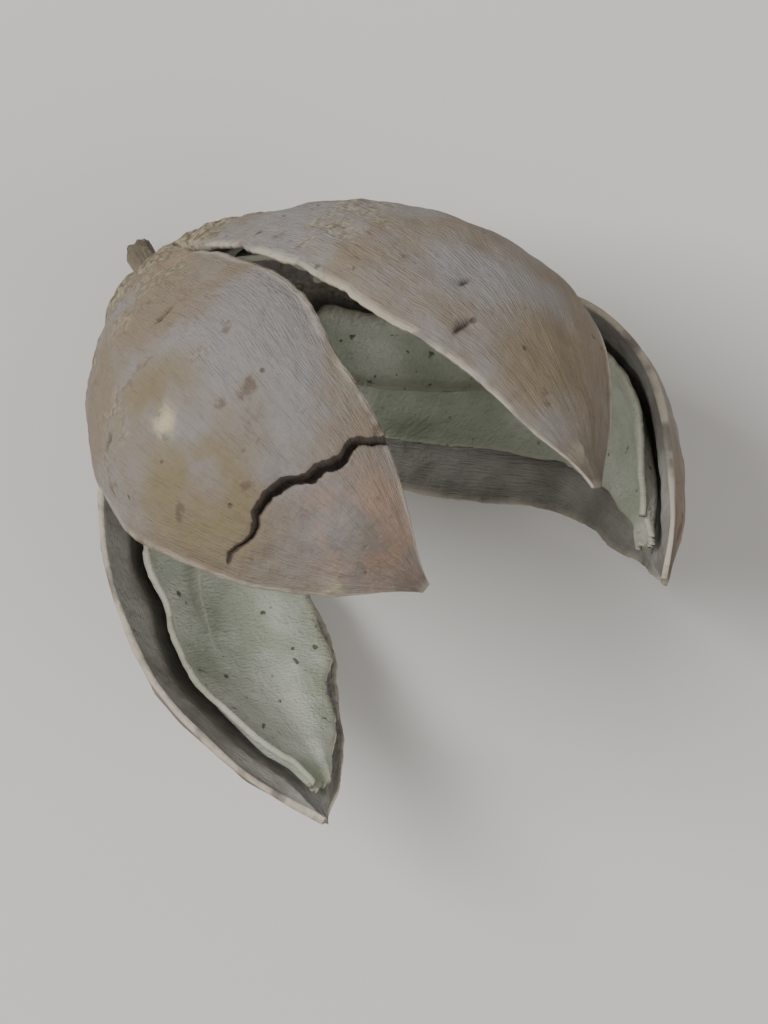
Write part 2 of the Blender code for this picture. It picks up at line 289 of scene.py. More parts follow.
def valve_azimuth(valve, along=0.0):
    """The direction of the valve's middle round the axis."""
    turned = math.radians(valve["turn"]) * smooth_step(SPLIT_AT, TURN_END, along)
    return math.radians(45.0 + 90.0 * valve["number"]) + turned


def stacked(*parts):
    """Coordinates joined into an array of points."""
    return np.stack(np.broadcast_arrays(*parts), axis=-1)


def rim_wander(valve, along, across):
    """How far the suture beside a rim wanders round the axis: both its rims share the line."""
    after = noise_at(stacked(8.0 * along, 5.0 * valve["number"], 0.5))
    before = noise_at(stacked(8.0 * along, 5.0 * ((valve["number"] - 1) % len(VALVES)), 0.5))
    wander = 0.05 * np.where(across > 0, after, before)
    return wander * np.abs(across) * smooth_step(SPLIT_AT, 0.3, along)


def rim_chips(valve, along, across):
    """How much of the rim has chipped away, as a share of the way to it."""
    side = np.where(across > 0, 3.0, 8.0) + 11.0 * valve["number"]
    coarse = noise_at(stacked(26.0 * along, side, 2.5))
    fine = noise_at(stacked(90.0 * along, side, 6.5))
    chips = 0.030 * np.maximum(coarse, 0.0) + 0.014 * np.abs(fine)
    at_rim = smooth_step(0.86, 1.0, np.abs(across)) * smooth_step(SPLIT_AT, 0.24, along)
    return chips * at_rim


def pointed_at(along):
    """The share of its width that a valve keeps there: its tip is finer than the solid's."""
    return 1 - TIP_LOSS * np.clip((np.asarray(along) - TIP_FROM) / TIP_SPAN, 0, 1) ** 2


def skin_point(valve, along, across, chipped=False):
    """Points of the husk's outer skin, with no relief on it."""
    radius = np.interp(along, SHARES, CLOSED_RADII)
    out = np.interp(along, SHARES, valve["spine"][0])
    up = np.interp(along, SHARES, valve["spine"][1])
    cup = 1 + (valve["cup"] - 1) * smooth_step(SPLIT_AT, 0.5, along)
    shrunk = 1 - 0.06 * smooth_step(SPLIT_AT, SPLIT_AT + 0.07, along)
    if chipped:
        shrunk = shrunk * pointed_at(along) * (1 - rim_chips(valve, along, across))
    angle = HALF_VALVE * across * cup * shrunk + rim_wander(valve, along, across)
    side = radius / cup * np.sin(angle)
    inward = radius / cup * (1 - np.cos(angle))
    bend = bend_at(valve, along)
    reach = out - inward * np.cos(bend)
    azimuth = valve_azimuth(valve, along)
    x = reach * np.cos(azimuth) - side * np.sin(azimuth)
    y = reach * np.sin(azimuth) + side * np.cos(azimuth)
    return stacked(x, y, up + inward * np.sin(bend))


def skin_normal(valve, along, across):
    """The outward normals of the skin there."""
    step = 0.004
    low = np.maximum(0.002, along - step)
    high = np.minimum(0.998, along + step)
    lengthways = skin_point(valve, high, across) - skin_point(valve, low, across)
    sideways = skin_point(valve, along, across + step) - skin_point(valve, along, across - step)
    normal = np.cross(sideways, lengthways)
    return normal / np.linalg.norm(normal, axis=-1, keepdims=True)


def crust_share(place, along):
    """How crusted the skin is there: all round the base, and in patches further up."""
    edge = 0.07 * noise_at(place, 330.0, 4.0)
    base = 1 - smooth_step(0.13, 0.34, along + edge)
    uneven = noise_at(place, 170.0, 9.0) + 0.4 * noise_at(place, 620.0, 2.0)
    patches = smooth_step(0.12, 0.60, uneven)
    return np.maximum(base, 0.55 * patches * (1 - smooth_step(0.45, 0.7, along)))


def spot_share(kind, valve, place):
    """How strongly the valve's spots of one kind mark it there."""
    share = np.zeros(place.shape[:-1])
    for spot_kind, name, along, across, radius, strength in SPOTS:
        if spot_kind != kind or name != valve["name"]:
            continue
        middle = skin_point(valve, np.array([along]), np.array([across]))[0]
        away = np.linalg.norm(place - middle, axis=-1) / radius
        ragged = 1 + 0.45 * noise_at(place, 0.9 / radius, 3.0)
        ragged = ragged + 0.25 * noise_at(place, 2.6 / radius, 7.0)
        share = np.maximum(share, strength * (1 - smooth_step(0.35, 1.25, away * ragged)))
    return share


def nick_share(valve, along, across):
    """1 in the short cracks across the valve's grain."""
    share = np.zeros_like(along)
    for name, at, start, end in NICKS:
        if name != valve["name"]:
            continue
        line = at + 0.006 * noise_at(stacked(9.0 * across, 5.0 * at, 2.0))
        begun = smooth_step(start - 0.03, start + 0.03, across)
        ended = smooth_step(end - 0.03, end + 0.03, across)
        on_line = 1 - smooth_step(0.002, 0.0065, np.abs(along - line))
        share = np.maximum(share, begun * (1 - ended) * on_line)
    return share


def broad_swell(place):
    """The swelling of the whole wall, which its inner side and the linings follow too."""
    return SWELL * noise_at(place, 210.0)


def grains_and_lumps(place):
    """The crust's grains and its larger lumps: 1 at the middle of each, 0 between them."""
    wander = [noise_at(place, 420.0, seed) for seed in (5.0, 15.0, 25.0)]
    shifted = place + GRAIN_SHIFT * stacked(*wander)
    grains = 1 - np.clip(cells_at(shifted, 1350.0), 0, 1)
    lumps = 1 - np.clip(cells_at(shifted, 430.0), 0, 1)
    return grains, lumps


def wrinkle_relief(valve, place, along, across):
    """Wrinkles and fibres along the grain, and dents."""
    wrinkled = stacked(across * 13.0 + 7.0 * valve["number"], along * 2.6, 1.0)
    wrinkles = WRINKLE_HEIGHT * (0.35 - np.abs(noise_at(wrinkled, 1.0, 3.0)))
    fibred = stacked(across * 42.0 + 9.0 * valve["number"], along * 9.0, 5.0)
    fibres = FIBRE_HEIGHT * noise_at(fibred)
    dents = -DENT_DEPTH * smooth_step(0.30, 0.62, noise_at(place, 380.0, 12.0))
    return wrinkles + fibres + dents


def relief(valve, place, along, across):
    """How far the skin stands out: the solids' own relief, and the fine relief on it."""
    swell = broad_swell(place) + FINE_SWELL * noise_at(place, 600.0)
    near_base = 1 - smooth_step(0.16, 0.32, along)
    rough = BASE_ROUGHNESS * np.abs(noise_at(place, 460.0)) * near_base
    coarse = swell * smooth_step(0.0, 0.06, along) + rough
    crust = crust_share(place, along)
    grains, lumps = grains_and_lumps(place)
    broken = smooth_step(-0.35, 0.30, noise_at(place, 520.0, 31.0))
    granular = crust * (GRAIN_HEIGHT * grains * (0.35 + 0.65 * broken) + LUMP_HEIGHT * lumps)
    scab = spot_share("scab", valve, place) * (SCAB_HEIGHT + GRAIN_HEIGHT * grains)
    nicks = -NICK_DEPTH * nick_share(valve, along, across)
    free = smooth_step(0.08, 0.2, along) * (1 - 0.6 * crust)
    free = free * (1 - 0.85 * smooth_step(0.86, 0.98, along))
    wrinkled = wrinkle_relief(valve, place, along, across) * free
    return coarse + granular + scab + nicks + wrinkled


def husk_point(valve, along, across):
    """Points of the outer skin with their relief, which fades at the rims."""
    place = skin_point(valve, along, across)
    inside = 1 - 0.7 * smooth_step(0.8, 1.0, np.abs(across)) * smooth_step(SPLIT_AT, 0.3, along)
    height = relief(valve, place, along, across) * inside
    spread = skin_point(valve, along, across, chipped=True)
    return spread + skin_normal(valve, along, across) * height[..., None]


def wall_at(along, across):
    """The husk's wall there: thick in the cap, and thin at the rims and the tip."""
    wall = CAP_WALL + (WALL - CAP_WALL) * smooth_step(0.05, 0.24, along)
    beside_rim = smooth_step(0.62, 1.0, np.abs(across)) * smooth_step(SPLIT_AT, 0.3, along)
    thinned = np.maximum(beside_rim, smooth_step(0.9, 1.0, along))
    return wall + (RIM_WALL - wall) * thinned


def inner_point(valve, along, across):
    """Points of the husk's inner skin, which is smoother: faint fibres run across it."""
    place = skin_point(valve, along, across)
    veins = noise_at(stacked(across * 5.0, along * 46.0, 3.0 * valve["number"]))
    depth = wall_at(along, across) + 0.00006 * veins * (1 - smooth_step(0.8, 1.0, np.abs(across)))
    swell = broad_swell(place) * smooth_step(0.0, 0.06, along)
    spread = skin_point(valve, along, across, chipped=True)
    return spread + skin_normal(valve, along, across) * (swell - depth)[..., None]


def crack_line(across):
    """Where the crack's middle runs, as a shift along the valve from CRACK_AT."""
    jag = noise_at(stacked(3.3 * across, 2.0, 0.0))
    fine = noise_at(stacked(15.0 * across, 4.0, 0.0))
    jump = smooth_step(-0.25, -0.05, across) - 0.5
    return CRACK_SLANT * across + CRACK_JAG * (jag - 0.7 * jump + 0.16 * fine)


def crack_half(across):
    """Half the crack's width there: widest past the notch, and closing towards its end."""
    past_notch = 0.55 + 0.45 * smooth_step(-1.0, -0.4, across)
    closing = 1 - 0.92 * smooth_step(-0.1, CRACK_ENDS, across)
    ragged = 1 + 0.35 * noise_at(stacked(21.0 * across, 7.0, 3.0))
    return CRACK_HALF * past_notch * closing * ragged


def valve_rows(valve):
    """The rows up a valve, each a share along and which lip of the crack it is.

    The number given with them says which row is the crack's upper lip.
    """
    steps = np.arange(1, VALVE_ROWS) / VALVE_ROWS
    shares = SPLIT_AT + (1 - SPLIT_AT) * (1 - (1 - steps) ** 1.2)
    if valve["name"] != "front":
        return [(share, 0.0) for share in shares], None
    below = [(share, 0.0) for share in shares if share < CRACK_AT - CLEAR_OF_CRACK]
    below += [(CRACK_AT - away, 0.0) for away in CLOSE_ROWS]
    above = [(CRACK_AT + away, 0.0) for away in reversed(CLOSE_ROWS)]
    above += [(share, 0.0) for share in shares if share > CRACK_AT + CLEAR_OF_CRACK]
    return below + [(CRACK_AT, -1.0), (CRACK_AT, 1.0)] + above, len(below) + 1


def row_share(valve, row, across):
    """The exact shares along of a row's points: rows by the crack follow it."""
    share, edge = row
    if valve["name"] != "front":
        return np.full_like(across, share)
    closeness = 1 - min(1.0, abs(share - CRACK_AT) / CRACK_FOLLOWED)
    return share + crack_line(across) * closeness + edge * crack_half(across)


def undercut(valve, along):
    """How far the inner skin is shifted by the crack, so that it runs aslant through the wall."""
    if valve["name"] != "front":
        return 0.0
    return CRACK_UNDERCUT * (1 - smooth_step(0.03, CRACK_FOLLOWED, np.abs(along - CRACK_AT)))


def crack_nearness(valve, along, across):
    """1 on the crack's lips, fading over the skin beside them: the crack's painted shade goes
    there.
    """
    if valve["name"] != "front":
        return np.zeros_like(along)
    away = np.abs(along - CRACK_AT - crack_line(across)) - crack_half(across)
    near = 1 - smooth_step(0.0, 0.0065, np.maximum(away, 0))
    return near * (1 - smooth_step(CRACK_ENDS, CRACK_ENDS + 0.08, across))


class Skin:
    """Grid points gathered into one mesh, each with the numbers that its finish needs."""

    MARKS = ("along", "across", "crust", "rim", "crack", "inner", "valve",
             "scab", "ruddy", "stain", "bloom", "nick")

    # The grain's own coordinates: the marks that they come from, and how much each counts
    GRAIN = (("across", 3.0), ("along", 10.0), ("valve", 7.0))

    def __init__(self):
        self.places = []
        self.marks = []
        self.faces = []

    def add(self, places, **marks):
        """Adds points and returns their numbers."""
        places = np.asarray(places, float).reshape(-1, 3)
        start = sum(len(p) for p in self.places)
        rows = [np.broadcast_to(marks.get(name, 0.0), len(places)) for name in self.MARKS]
        self.places.append(places)
        self.marks.append(np.stack(rows, axis=-1))
        return np.arange(start, start + len(places))

    def bridge(self, lower, upper, closed=False):
        """Quads between two rows of points."""
        if closed:
            quads = stacked(lower, np.roll(lower, -1), np.roll(upper, -1), upper)
        else:
            quads = stacked(lower[:-1], lower[1:], upper[1:], upper[:-1])
        self.faces.extend(quads.tolist())

    def fan(self, ring, point, closed=False):
        """Triangles from a row of points to one point."""
        following = np.roll(ring, -1) if closed else ring[1:]
        start = ring if closed else ring[:-1]
        self.faces.extend([[int(a), int(b), int(point)] for a, b in zip(start, following)])

    def close_behind(self, inner_places):
        """Gives the skin an inner side, with strips along its open edges."""
        count = len(inner_places)
        marks = np.concatenate(self.marks)
        marks[:, self.MARKS.index("inner")] = 1.0
        self.places.append(np.asarray(inner_places, float))
        self.marks.append(marks)
        directed = set()
        for face in self.faces:
            for a, b in zip(face, face[1:] + face[:1]):
                directed.add((a, b))
        open_edges = [(a, b) for a, b in sorted(directed) if (b, a) not in directed]
        strips = [[b, a, a + count, b + count] for a, b in open_edges]
        behind = [[v + count for v in reversed(face)] for face in self.faces]
        self.faces = self.faces + behind + strips

    def write_marks(self, mesh):
        """Gives the mesh its marks, and the grain's own coordinates."""
        marks = np.concatenate(self.marks)
        for index, mark in enumerate(self.MARKS):
            attribute = mesh.attributes.new(mark, "FLOAT", "POINT")
            attribute.data.foreach_set("value", marks[:, index].astype(np.float32))
        grain = mesh.attributes.new("grain", "FLOAT_VECTOR", "POINT")
        vectors = stacked(*[marks[:, self.MARKS.index(mark)] * size for mark, size in self.GRAIN])
        grain.data.foreach_set("vector", vectors.astype(np.float32).ravel())

    def to_object(self, name, matrix):
        """The mesh, laid down in the row frame, with nothing below the ground."""
        places = np.concatenate(self.places)
        turned = places @ matrix[:3, :3].T + matrix[:3, 3]
        turned[:, 2] = np.maximum(turned[:, 2], 0.0)
        mesh = bpy.data.meshes.new(name)
        mesh.from_pydata(turned.tolist(), [], self.faces)
        self.write_marks(mesh)
        mesh.validate()
        mesh.shade_smooth()
        obj = bpy.data.objects.new(name, mesh)
        bpy.context.scene.collection.objects.link(obj)
        return obj


def lying_matrix():
    """Lays the pod's own axes down in the row frame."""
    turn = Euler((math.radians(90 - LIE_TILT), 0, math.radians(LIE_ROLL)), "ZYX")
    matrix = np.array(turn.to_matrix().to_4x4())
    matrix[:3, 3] = LIE_PLACE
    return matrix


def husk_marks(valve, along, across):
    """The numbers that the husk's finish needs at points of a valve."""
    place = skin_point(valve, along, across)
    crust = crust_share(place, along)
    # The rim mark says where a painted highlight goes: along the valves' rims and at their tips.
    rim = smooth_step(0.93, 1.0, np.abs(across)) * smooth_step(SPLIT_AT, 0.26, along)
    rim = rim * (1 - 0.7 * crust)
    return {
        "along": along,
        "across": across,
        "crust": crust,
        "rim": np.maximum(rim, smooth_step(0.985, 1.0, along)),
        "crack": crack_nearness(valve, along, across),
        "valve": float(valve["number"]),
        "scab": spot_share("scab", valve, place),
        "ruddy": spot_share("ruddy", valve, place),
        "stain": spot_share("stain", valve, place),
        "bloom": spot_share("bloom", valve, place),
        "nick": nick_share(valve, along, across),
    }


def cap_row(along):
    """One ring of the cap: its outer and inner places and its marks."""
    outer, inner, marks = [], [], []
    across = 2 * np.arange(COLUMNS) / COLUMNS - 1
    spread = np.full(COLUMNS, along)
    seam = (np.array([along]), np.array([1.0]))
    for valve in VALVES:
        before = VALVES[valve["number"] - 1]
        ring = husk_point(valve, spread, across)
        back = inner_point(valve, spread, across)
        # The first point is shared with the valve before, so it is the middle of the two.
        ring[0] = (ring[0] + husk_point(before, *seam)[0]) / 2
        back[0] = (back[0] + inner_point(before, *seam)[0]) / 2
        outer.append(ring)
        inner.append(back)
        marks.append(husk_marks(valve, spread, across))
    together = {}
    for key in marks[0]:
        rows = [np.broadcast_to(m[key], COLUMNS) for m in marks]
        together[key] = np.concatenate(rows)
    return np.concatenate(outer), np.concatenate(inner), together


def add_cap(skin, inner):
    """The cap, up to where the valves split. It gives back the last ring of points."""
    pole = skin.add([[0, 0, 0]], crust=1.0)
    inner.append(np.array([[0, 0, CAP_WALL]]))
    ring = None
    for row in range(1, CAP_ROWS + 1):
        outer, behind, marks = cap_row(SPLIT_AT * row / CAP_ROWS)
        upper = skin.add(outer, **marks)
        inner.append(behind)
        if ring is None:
            skin.fan(upper[::-1], pole[0], closed=True)
        else:
            skin.bridge(ring, upper, closed=True)
        ring = upper
    return ring


def add_valve(skin, inner, valve, lower):
    """A valve, from the cap's ring to its tip. Its two rows at the crack are joined only
    past the crack's end."""
    across = 2 * np.arange(COLUMNS + 1) / COLUMNS - 1
    closed_from = int(round((CRACK_ENDS + 1) / 2 * COLUMNS))
    rows, over_crack = valve_rows(valve)
    for index, row in enumerate(rows):
        along = row_share(valve, row, across)
        upper = skin.add(husk_point(valve, along, across), **husk_marks(valve, along, across))
        inner.append(inner_point(valve, along + undercut(valve, along), across))
        if index == over_crack:
            skin.bridge(lower[closed_from:], upper[closed_from:])
        else:
            skin.bridge(lower, upper)
        lower = upper
    top = np.array([0.999])
    middle = np.array([0.0])
    tip = skin.add(husk_point(valve, top, middle), **husk_marks(valve, top, middle))
    inner.append(inner_point(valve, top, middle))
    skin.fan(lower, tip[0])


def build_husk(matrix):
    """The cap and the four valves, with their inner side, and the stalk's stub."""
    skin = Skin()
    inner = []
    ring = add_cap(skin, inner)
    for valve in VALVES:
        start = valve["number"] * COLUMNS
        lower = ring[(start + np.arange(COLUMNS + 1)) % len(ring)]
        add_valve(skin, inner, valve, lower)
    skin.close_behind(np.concatenate(inner))
    add_stalk(skin)
    return skin.to_object("husk_skin", matrix)


def add_stalk(skin):
    """The broken stalk, which flares into the cap."""
    girths_at = [-STALK_LENGTH, -0.5 * STALK_LENGTH, 0.0001, STALK_SUNK]
    girths = [0.95, 0.85, 1.4, 2.0]
    turns = np.linspace(0, 2 * math.pi, STALK_SIDES, endpoint=False)
    ring = None
    for height in np.linspace(-STALK_LENGTH, STALK_SUNK, STALK_LEVELS):
        bent = max(0.0, -height / STALK_LENGTH)
        girth = STALK_RADIUS * np.interp(height, girths_at, girths)
        round_it = stacked(np.cos(turns), np.sin(turns), 0.0)
        ridges = 0.09 * noise_at(stacked(np.cos(turns) * 3.0, np.sin(turns) * 3.0, height * 260.0))
        ends = 0.0004 * noise_at(round_it * 2.0, 1.0, 8.0) * smooth_step(0.8, 1.0, bent)
        places = round_it * (girth * (1 + ridges))[:, None]
        places = places + stacked(0.0003 * bent**2, 0.0010 * bent**1.5, height + ends)
        upper = skin.add(places, crust=0.45, along=0.05, across=np.cos(turns), valve=5.0)
        if ring is None:
            middle = skin.add([places.mean(axis=0)], crust=0.2, valve=5.0)
            skin.fan(upper[::-1], middle[0], closed=True)
        else:
            skin.bridge(ring, upper, closed=True)
        ring = upper


def lining_foot(valve, across):
    """How far along the lining's uneven lower edge is."""
    apart = 5.3 * valve["number"]
    feet = 0.030 * noise_at(stacked(2.6 * across, apart, 12.5))
    feet = feet + 0.007 * noise_at(stacked(9.0 * across, apart, 2.5))
    return LINING_FROM + feet


def lining_end(valve, across, share):
    """How far along the lining's torn end is. Its splinters start only close to it."""
    reach = LININGS[valve["name"]]
    apart = 4.0 * valve["number"]
    ragged = noise_at(stacked(4.0 * across, 9.0 * valve["number"], 1.5))
    splinters = 0.20 * noise_at(stacked(7.0 * across, apart, 8.5))
    splinters = splinters + 0.03 * noise_at(stacked(19.0 * across, apart, 5.5))
    return reach["to"] + reach["torn"] * (ragged + splinters * smooth_step(0.7, 1.0, share))


def lining_spread(valve, even, across, along, share):
    """How far across the lining's points are, with tears and nicks in its sides."""
    reach = LININGS[valve["name"]]
    apart = 7.0 * valve["number"]
    sides = np.where(even > 0, reach["high_side"], reach["low_side"])
    tear = 0.12 * noise_at(stacked(12.0 * along, apart, np.sign(even) * 3.0))
    nicks = 0.022 * noise_at(stacked(75.0 * along, apart, np.sign(even) * 5.0))
    at_edge = smooth_step(0.75, 1.0, np.abs(even))
    closing = pointed_at(along) * (1 - reach["closing"] * smooth_step(0.75, 1.0, share))
    return across * (sides + tear * np.abs(even) + nicks * at_edge) * closing


def lining_row(valve, even, share):
    """One row of a lining: its outer and inner places and its marks."""
    across = np.sign(even) * np.abs(even) ** 1.3
    foot = lining_foot(valve, across)
    along = foot + (lining_end(valve, across, share) - foot) * share
    spread = lining_spread(valve, even, across, along, share)
    place = skin_point(valve, along, spread)
    lifted = 0.0005 * smooth_step(0.6, 1.0, np.abs(even))
    crumple = 0.00009 * noise_at(place, 620.0, 5.0) + 0.00005 * noise_at(place, 1500.0, 1.0)
    depth = wall_at(along, spread) + LINING_GAP + lifted + crumple
    normal = skin_normal(valve, along, spread)
    ridge = SEPTUM_HEIGHT * (1 - smooth_step(0.25, 0.6, share))
    beside = np.exp(-((even * LINING_COLUMNS / 2) / 1.6) ** 2)
    thickness = LINING_WALL + ridge * beside
    outer = place + normal * (broad_swell(place) - depth)[:, None]
    marks = {
        "along": along,
        "across": spread,
        "rim": np.maximum(smooth_step(0.9, 1.0, np.abs(even)), smooth_step(0.95, 1.0, share)),
        "crust": beside * smooth_step(0.0, SEPTUM_HEIGHT, ridge),
        "valve": float(valve["number"]),
    }
    return outer, outer - normal * thickness[:, None], marks


def build_lining(valve, matrix):
    """A loose lining, a little off the valve's inner face, with a torn edge and a low septum."""
    even = 2 * np.arange(LINING_COLUMNS + 1) / LINING_COLUMNS - 1
    skin = Skin()
    behind = []
    lower = None
    for share in np.linspace(0, 1, LINING_ROWS + 1):
        outer, inner, marks = lining_row(valve, even, share)
        upper = skin.add(outer, **marks)
        behind.append(inner)
        if lower is not None:
            skin.bridge(lower, upper)
        lower = upper
    skin.close_behind(np.concatenate(behind))
    return skin.to_object(f"lining_skin_{valve['name']}", matrix)


def column_outline(core, wing):
    """One level of the column, seen from above."""
    ring = []
    root = COLUMN_CORE * core
    edge = root + COLUMN_WING * wing
    for valve in VALVES:
        azimuth = float(valve_azimuth(valve))
        outwards = np.array([math.cos(azimuth), math.sin(azimuth)])
        sideways = np.array([-outwards[1], outwards[0]])
        half = 0.8 * WING_HALF
        corners = [(root, -WING_HALF), (edge, -half), (edge, half), (root, WING_HALF)]
        for out, side in corners:
            ring.append(outwards * out + sideways * side)
        between = outwards + sideways
        ring.append(between / np.linalg.norm(between) * root * 0.85)
    return np.array(ring)


def column_level(share):
    """The places at one level of the column, and the way out from its middle at each."""
    core = np.interp(share, COLUMN_SHARES, COLUMN_CORES)
    wing = np.interp(share, COLUMN_SHARES, COLUMN_WINGS)
    corners = column_outline(core, wing)
    following = np.roll(corners, -1, axis=0)
    steps = (np.arange(COLUMN_STEPS) / COLUMN_STEPS)[None, :, None]
    flat = (corners[:, None] * (1 - steps) + following[:, None] * steps).reshape(-1, 2)
    height = COLUMN_FOOT + COLUMN_HEIGHT * share
    places = np.concatenate([flat, np.full((len(flat), 1), height)], axis=1)
    outward = places * np.array([1, 1, 0])
    outward = outward / np.maximum(np.linalg.norm(outward, axis=1, keepdims=True), 1e-6)
    fibres = noise_at(places * np.array([2600.0, 2600.0, 260.0]))
    torn = noise_at(places, 900.0, 3.0)
    return places + outward * (0.00007 * fibres + 0.00006 * torn)[:, None], outward


def build_column(matrix):
    """The column: a slim fibrous core with four wings and a blunt head."""
    skin = Skin()
    ring = None
    for share in np.linspace(0, 1, COLUMN_LEVELS):
        places, outward = column_level(share)
        upper = skin.add(places, along=share, across=outward[:, 0], valve=4.0)
        if ring is None:
            foot = skin.add([[0, 0, COLUMN_FOOT]])
            skin.fan(upper[::-1], foot[0], closed=True)
        else:
            skin.bridge(ring, upper, closed=True)
        ring = upper
    head = skin.add([[0, 0, COLUMN_FOOT + COLUMN_HEIGHT + 0.0002]], along=1.0)
    skin.fan(ring, head[0], closed=True)
    return skin.to_object("column_wood", matrix)


class Finish:
    """A procedural material, built up in layers."""

    def __init__(self, name):
        self.material = bpy.data.materials.new(name)
        self.material.use_nodes = True
        self.tree = self.material.node_tree
        self.shader = self.tree.nodes["Principled BSDF"]
        self.shader.inputs["Metallic"].default_value = 0.0
        self.place = self.tree.nodes.new("ShaderNodeTexCoord").outputs["Object"]
        self.grain = self.mark("grain", "Vector")

    def mark(self, name, output="Fac"):
        """A mark that the mesh carries."""
        node = self.tree.nodes.new("ShaderNodeAttribute")
        node.attribute_name = name
        return node.outputs[output]

    def put(self, socket, value):
        """Links a value to a socket, or sets the socket to it where it is a plain number."""
        if isinstance(value, bpy.types.NodeSocket):
            self.tree.links.new(value, socket)
        else:
            socket.default_value = value

    def sum(self, operation, first, second, third=None):
        """A sum of any kind: the operation says which."""
        node = self.tree.nodes.new("ShaderNodeMath")
        node.operation = operation
        self.put(node.inputs[0], first)
        self.put(node.inputs[1], second)
        if third is not None:
            self.put(node.inputs[2], third)
        return node.outputs[0]

    def stretched(self, scale):
        """The grain's coordinates, stretched by three numbers."""
        node = self.tree.nodes.new("ShaderNodeVectorMath")
        node.operation = "MULTIPLY"
        self.put(node.inputs[0], self.grain)
        node.inputs[1].default_value = scale
        return node.outputs[0]

    def noise(self, scale, detail, vector=None):
        """Noise at the place, or at other coordinates."""
        node = self.tree.nodes.new("ShaderNodeTexNoise")
        self.put(node.inputs["Vector"], vector or self.place)
        node.inputs["Scale"].default_value = scale
        node.inputs["Detail"].default_value = detail
        return node.outputs["Fac"]

    def shifted(self, scale, reach):
        """The place, shifted about by noise, so that what is drawn at it is less even."""
        noise_node = self.tree.nodes.new("ShaderNodeTexNoise")
        self.put(noise_node.inputs["Vector"], self.place)
        noise_node.inputs["Scale"].default_value = scale
        node = self.tree.nodes.new("ShaderNodeVectorMath")
        node.operation = "MULTIPLY_ADD"
        self.put(node.inputs[0], noise_node.outputs["Color"])
        node.inputs[1].default_value = (reach, reach, reach)
        self.put(node.inputs[2], self.place)
        return node.outputs[0]

    def grains(self, scale):
        """The distance from the middle of the nearest of a scatter of uneven grains."""
        node = self.tree.nodes.new("ShaderNodeTexVoronoi")
        self.put(node.inputs["Vector"], self.shifted(0.45 * scale, 1.3 / scale))
        node.inputs["Scale"].default_value = scale
        return node.outputs["Distance"]

    def ramp(self, value, start, end):
        """0 before start and 1 after end."""
        node = self.tree.nodes.new("ShaderNodeMapRange")
        node.interpolation_type = "SMOOTHSTEP"
        self.put(node.inputs["Value"], value)
        node.inputs["From Min"].default_value = start
        node.inputs["From Max"].default_value = end
        return node.outputs["Result"]

    def patchy(self, name, scale, detail, start, end):
        """A mark that the mesh carries, broken up into patches by noise."""
        patches = self.ramp(self.noise(scale, detail), start, end)
        return self.sum("MULTIPLY", self.mark(name), patches)

    def mix(self, share, first, second):
        """One colour where the share is 0 and the other where it is 1."""
        node = self.tree.nodes.new("ShaderNodeMix")
        node.data_type = "RGBA"
        self.put(node.inputs["Factor"], share)
        self.put(node.inputs[6], first)
        self.put(node.inputs[7], second)
        return node.outputs[2]

    def lay(self, below, share, strength, colour):
        """A colour laid over what is below it, by its share and no stronger than this."""
        return self.mix(self.sum("MULTIPLY", share, strength), below, colour)

    def finish(self, colour, roughness, height, distance):
        """Joins the layers to the shader and gives back the material."""
        bump = self.tree.nodes.new("ShaderNodeBump")
        bump.inputs["Distance"].default_value = distance
        bump.inputs["Strength"].default_value = 1.0
        self.put(bump.inputs["Height"], height)
        self.put(self.shader.inputs["Normal"], bump.outputs["Normal"])
        self.put(self.shader.inputs["Base Color"], colour)
        self.put(self.shader.inputs["Roughness"], roughness)
        return self.material


def shade(red, green, blue):
    """A colour given as it looks on a screen, from 0 to 255."""
    linear = []
    for value in (red, green, blue):
        value = value / 255
        linear.append(value / 12.92 if value <= 0.04045 else ((value + 0.055) / 1.055) ** 2.4)
    return (*linear, 1.0)


def weathered_skin(f):
    """Lilac-grey bloom over tan skin, with stains, ruddy places, streaks and scars."""
    more_bloom = f.sum("MULTIPLY", f.mark("bloom"), 0.22)
    bloom = f.ramp(f.sum("ADD", f.noise(190.0, 9.0), more_bloom), 0.38, 0.70)
    skin = f.mix(bloom, shade(121, 108, 91), shade(129, 124, 121))
    skin = f.lay(skin, f.patchy("stain", 330.0, 4.0, 0.30, 0.58), 0.8, shade(118, 106, 77))
    skin = f.lay(skin, f.patchy("ruddy", 420.0, 4.0, 0.34, 0.58), 0.8, shade(150, 123, 106))
    streaks = f.ramp(f.noise(3.0, 6.0, f.stretched((4.2, 0.55, 1.0))), 0.50, 0.72)
    skin = f.lay(skin, streaks, 0.24, shade(94, 78, 62))
    scars = f.ramp(f.noise(420.0, 5.0), 0.64, 0.71)
    return f.lay(skin, scars, 0.6, shade(82, 62, 48))


def pitted_share(f):
    """1 in small pits, which come in groups."""
    pits = f.ramp(f.grains(620.0), 0.14, 0.03)
    return f.sum("MULTIPLY", pits, f.ramp(f.noise(230.0, 2.0), 0.50, 0.60))


def crusted_share(f):
    """1 where crust covers the skin, with a speckled edge."""
    speckle = f.sum("MULTIPLY", f.noise(700.0, 5.0), 0.9)
    return f.ramp(f.sum("ADD", f.mark("crust"), speckle), 0.62, 1.30)


def crust_grit(f):
    """The crust's grit: low on its grains, high between them, and broken up by crumbs."""
    crumbs = f.sum("MULTIPLY", f.noise(3600.0, 7.0), 0.9)
    return f.sum("ADD", f.sum("MULTIPLY", f.grains(2300.0), 0.7), crumbs)


def crust_colour(f, grit):
    """Grains partly of the crust's own pale colour and partly a painted highlight, with painted
    shade in the sunken gaps between them, under brown patches.
    """
    crusty = f.mix(f.ramp(grit, 0.58, 1.04), shade(160, 151, 124), shade(92, 80, 60))
    return f.mix(f.ramp(f.noise(360.0, 6.0), 0.48, 0.66), crusty, shade(126, 113, 92))


